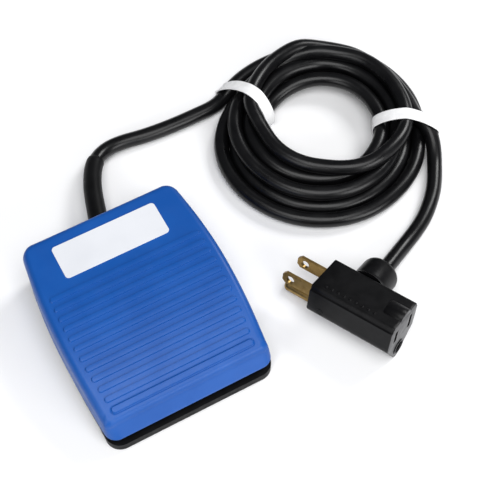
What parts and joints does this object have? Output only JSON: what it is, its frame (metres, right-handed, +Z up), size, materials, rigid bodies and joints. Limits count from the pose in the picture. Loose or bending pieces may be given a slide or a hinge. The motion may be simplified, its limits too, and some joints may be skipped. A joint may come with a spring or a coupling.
{
  "type": "sewing machine pedal",
  "caption": "Momentary foot switch: blue ribbed treadle on a black base, with a coiled mains lead and an in-line piggyback plug.",
  "frame": {"origin": "centre of the footprint of the pedal, on the floor under its rubber feet", "axes": "+Z up; +Y from the toe end towards the hinge and the lead's exit; +X to the right as seen from the toe end looking along +Y"},
  "size_m": [0.2188, 0.177, 0.0318],
  "materials": {
    "base_black": "matt moulded ABS",
    "rubber_black": "matt",
    "fish_paper": "pressed insulating board",
    "steel": "zinc plated",
    "spring_steel": "drawn wire",
    "cover_blue": "satin moulded ABS, blue",
    "label_white": "satin film, blank",
    "phenolic_black": "phenolic",
    "phenolic_brown": "phenolic",
    "plunger_red": "acetal",
    "contact_copper": "phosphor bronze",
    "brass": "stamped brass",
    "connector_red": "vinyl",
    "sleeve_black": "moulded vinyl",
    "cord_black": "vinyl jacket, satin",
    "wire_black": "vinyl",
    "wire_white": "vinyl",
    "wire_green": "vinyl",
    "screw_green": "dyed zinc",
    "tie_white": "thin tape",
    "plug_black": "moulded vinyl, satin"
  },
  "bodies": {
    "base": {"base_tray": "base_black", "rubber_feet": "rubber_black", "insulating_liner": "fish_paper", "pivot_pins": "steel", "return_spring": "spring_steel", "stop_bumpers": "rubber_black", "switch_case": "phenolic_black", "switch_lid": "phenolic_brown", "terminal_common": "brass", "terminal_open": "brass", "terminal_closed": "brass", "switch_screws": "steel", "wire_connectors": "connector_red", "cord_clamp": "base_black", "clamp_screws": "steel", "strain_relief": "sleeve_black", "cord_end": "cord_black", "line_wire": "wire_black", "load_wire": "wire_white", "ground_wire": "wire_green", "ground_lug": "brass", "ground_screw": "screw_green", "cord_sleeve": "sleeve_black", "cord_lead": "cord_black", "cord_coil": "cord_black", "cord_tail": "cord_black", "tie_left": "tie_white", "tie_right": "tie_white", "plug_body": "plug_black", "plug_boss": "plug_black", "receptacle_face": "plug_black", "line_blade": "brass", "neutral_blade": "brass", "ground_pin": "brass", "line_contact": "contact_copper", "neutral_contact": "contact_copper", "ground_contact": "contact_copper"},
    "treadle": {"treadle_cover": "cover_blue", "label_plate": "label_white", "actuator_screw": "steel"},
    "lever": {"switch_lever": "steel"},
    "plunger": {"switch_plunger": "plunger_red"},
    "contact": {"snap_blade": "contact_copper"}
  },
  "joints": [
    {"name": "treadle_pivot", "type": "hinge", "parent": "base", "child": "treadle", "pos_m": [0, 0.039, 0.012], "axis": [1, 0, 0], "range_deg": [0, 2.75], "stiffness_Nm_per_rad": 8, "springref_deg": -3.44, "deforming": ["return_spring"]},
    {"name": "lever_pivot", "type": "hinge", "parent": "base", "child": "lever", "pos_m": [0, 0.0147, 0.021], "axis": [1, 0, 0], "range_deg": [0, 5.5]},
    {"name": "plunger_travel", "type": "slide", "parent": "base", "child": "plunger", "axis": [0, 0, 1], "range_m": [-0.00085, 0]},
    {"name": "contact_swing", "type": "hinge", "parent": "base", "child": "contact", "pos_m": [0, 0.0112, 0.0115], "axis": [1, 0, 0], "range_deg": [0, 1.5]}
  ],
  "couplings": [
    {"joint": "lever_pivot", "follows": "treadle_pivot", "ratio": 1.91},
    {"joint": "plunger_travel", "follows": "treadle_pivot", "m_per_rad": -0.0166},
    {"joint": "contact_swing", "follows": "treadle_pivot", "ratio": 0.5}
  ]
}
